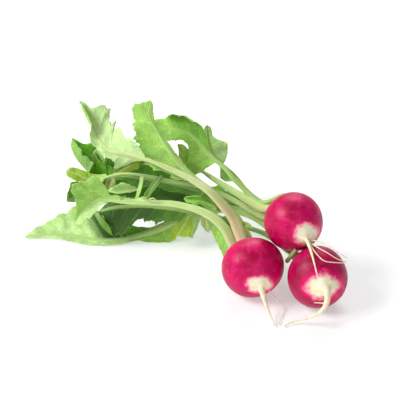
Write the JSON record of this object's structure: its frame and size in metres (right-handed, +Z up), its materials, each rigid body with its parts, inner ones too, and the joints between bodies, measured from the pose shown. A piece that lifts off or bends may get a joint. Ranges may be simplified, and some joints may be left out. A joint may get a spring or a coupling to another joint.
{
  "type": "bunch of radishes",
  "caption": "Small loose bunch of round fresh radishes with thin tails and long leafy stems, lying together as if just put down.",
  "frame": {"origin": "on the surface that the bunch lies on, under the middle of its bounding box", "axes": "+X from the leaf tips towards the roots, the longest extent; +Y away from the roots' tails; +Z up"},
  "size_m": [0.1585, 0.1279, 0.067],
  "materials": {
    "root_skin": "smooth crimson skin with a white lower end and a pale tail, softly glossy",
    "leaf_green": "satin green leaf with a pale stalk and a paler underside"
  },
  "bodies": {
    "root": {"bulb_a": "root_skin", "bulb_b": "root_skin", "bulb_c": "root_skin", "leaf_a1": "leaf_green", "leaf_a2": "leaf_green", "leaf_a3": "leaf_green", "leaf_a4": "leaf_green", "leaf_b1": "leaf_green", "leaf_b2": "leaf_green", "leaf_b3": "leaf_green", "leaf_b4": "leaf_green", "leaf_c1": "leaf_green", "leaf_c2": "leaf_green", "leaf_c3": "leaf_green", "leaf_c4": "leaf_green"}
  },
  "joints": []
}
